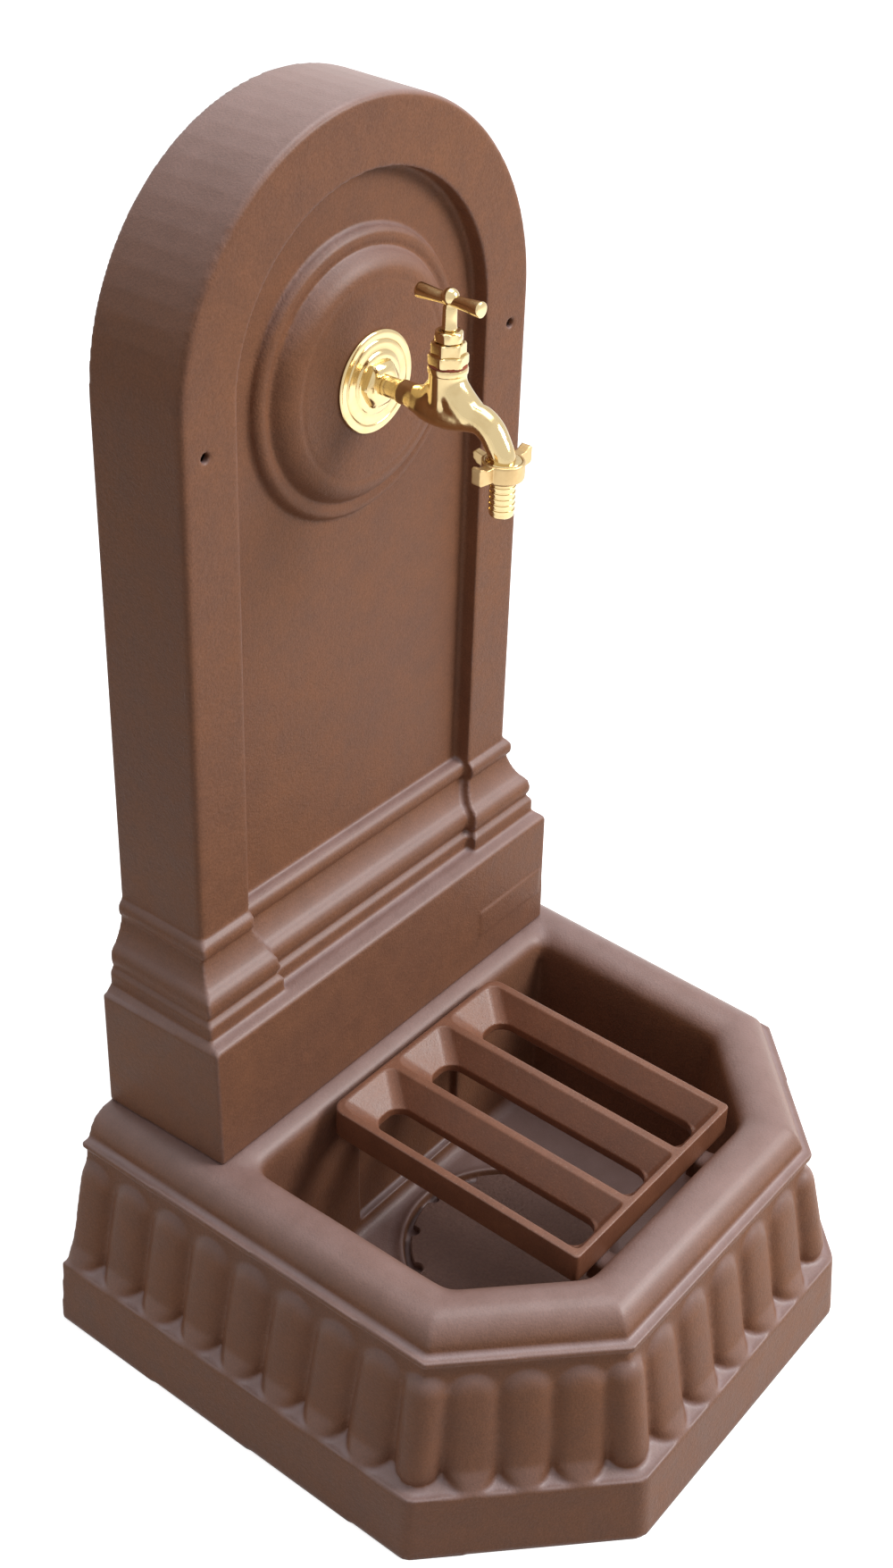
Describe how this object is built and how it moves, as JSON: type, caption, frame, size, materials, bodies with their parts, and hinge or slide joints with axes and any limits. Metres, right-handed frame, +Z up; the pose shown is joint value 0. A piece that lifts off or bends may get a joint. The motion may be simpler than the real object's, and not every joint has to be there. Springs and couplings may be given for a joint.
{
  "type": "street fountain with tap",
  "caption": "Standing street fountain: arched upright with sunk panel and ring boss, bib tap with hose union, fluted half-octagon basin with lift-out grate and drain cover.",
  "frame": {"origin": "ground level, halfway between the flat back and the basin's front, on the middle plane", "axes": "+Z up, -Y towards the user in front of the tap, +X to the user's right"},
  "size_m": [0.58, 0.513, 1.0214],
  "materials": {
    "brown_casting": "matt brown paint on a fine cast grain",
    "red_brown_casting": "satin red-brown paint",
    "rough_casting": "dark brown paint on a rough cast face",
    "polished_brass": "polished",
    "cover_sheet": "matt brown paint",
    "zinc_steel": "zinc plated",
    "copper_pipe": "drawn copper",
    "plain_brass": "as machined",
    "black_rubber": "matt",
    "red_fibre": "pressed fibre",
    "white_ptfe": "smooth"
  },
  "bodies": {
    "fountain": {"basin_casting": "brown_casting", "stele_casting": "brown_casting", "rear_cover": "cover_sheet", "rear_cover_screws": "zinc_steel", "base_bolts": "zinc_steel", "base_washers": "zinc_steel", "base_nuts": "zinc_steel", "wall_rosette": "polished_brass", "inlet_collar": "polished_brass", "tap_body": "polished_brass", "bonnet": "polished_brass", "bonnet_washer": "red_fibre", "gland_nut": "polished_brass", "gland_packing": "white_ptfe", "tap_back_washer": "red_fibre", "tap_back_nut": "plain_brass", "supply_elbow": "plain_brass", "supply_riser": "copper_pipe", "supply_inlet_pipe": "copper_pipe", "inlet_coupler": "plain_brass", "deck_grommet": "black_rubber", "pipe_clips": "plain_brass", "clip_screws": "zinc_steel", "stop_valve_body": "plain_brass", "stop_valve_seats": "white_ptfe"},
    "valve_jumper": {"jumper_valve": "plain_brass", "valve_washer": "black_rubber", "washer_nut": "plain_brass"},
    "handle": {"spindle": "plain_brass", "handle_hub": "polished_brass", "handle_bar": "polished_brass"},
    "hose_tail": {"hose_tail": "polished_brass", "union_washer": "black_rubber"},
    "union_nut": {"union_nut": "polished_brass"},
    "drain_cover": {"drain_cover": "rough_casting"},
    "bucket_grate": {"bucket_grate": "red_brown_casting"},
    "stop_lever": {"stop_valve_ball": "plain_brass", "stop_valve_stem": "plain_brass", "stop_valve_lever": "zinc_steel", "stop_valve_nut": "zinc_steel"}
  },
  "joints": [
    {"name": "valve_lift", "type": "slide", "parent": "fountain", "child": "valve_jumper", "axis": [0, 0, 1], "range_m": [0, 0.005]},
    {"name": "handle_turn", "type": "hinge", "parent": "valve_jumper", "child": "handle", "pos_m": [0, 0.09575, 0.892], "axis": [0, 0, 1], "range_deg": [0, 900]},
    {"name": "tail_drop", "type": "slide", "parent": "fountain", "child": "hose_tail", "axis": [0, 0, -1], "range_m": [0, 0.00726]},
    {"name": "union_turn", "type": "hinge", "parent": "hose_tail", "child": "union_nut", "pos_m": [0, 0.0425, 0.78], "axis": [0, 0, -1], "range_deg": [0, 1440]},
    {"name": "drain_cover_lift", "type": "slide", "parent": "fountain", "child": "drain_cover", "axis": [0, 0, 1], "range_m": [0, 0.09]},
    {"name": "grate_lift", "type": "slide", "parent": "fountain", "child": "bucket_grate", "axis": [0, 0, 1], "range_m": [0, 0.3]},
    {"name": "stop_lever_turn", "type": "hinge", "parent": "fountain", "child": "stop_lever", "pos_m": [0, 0.2115, 0.33], "axis": [0, 1, 0], "range_deg": [0, 90]}
  ],
  "couplings": [
    {"joint": "handle_turn", "follows": "valve_lift", "rad_per_m": 3141.6},
    {"joint": "union_turn", "follows": "tail_drop", "rad_per_m": 3463.2}
  ]
}
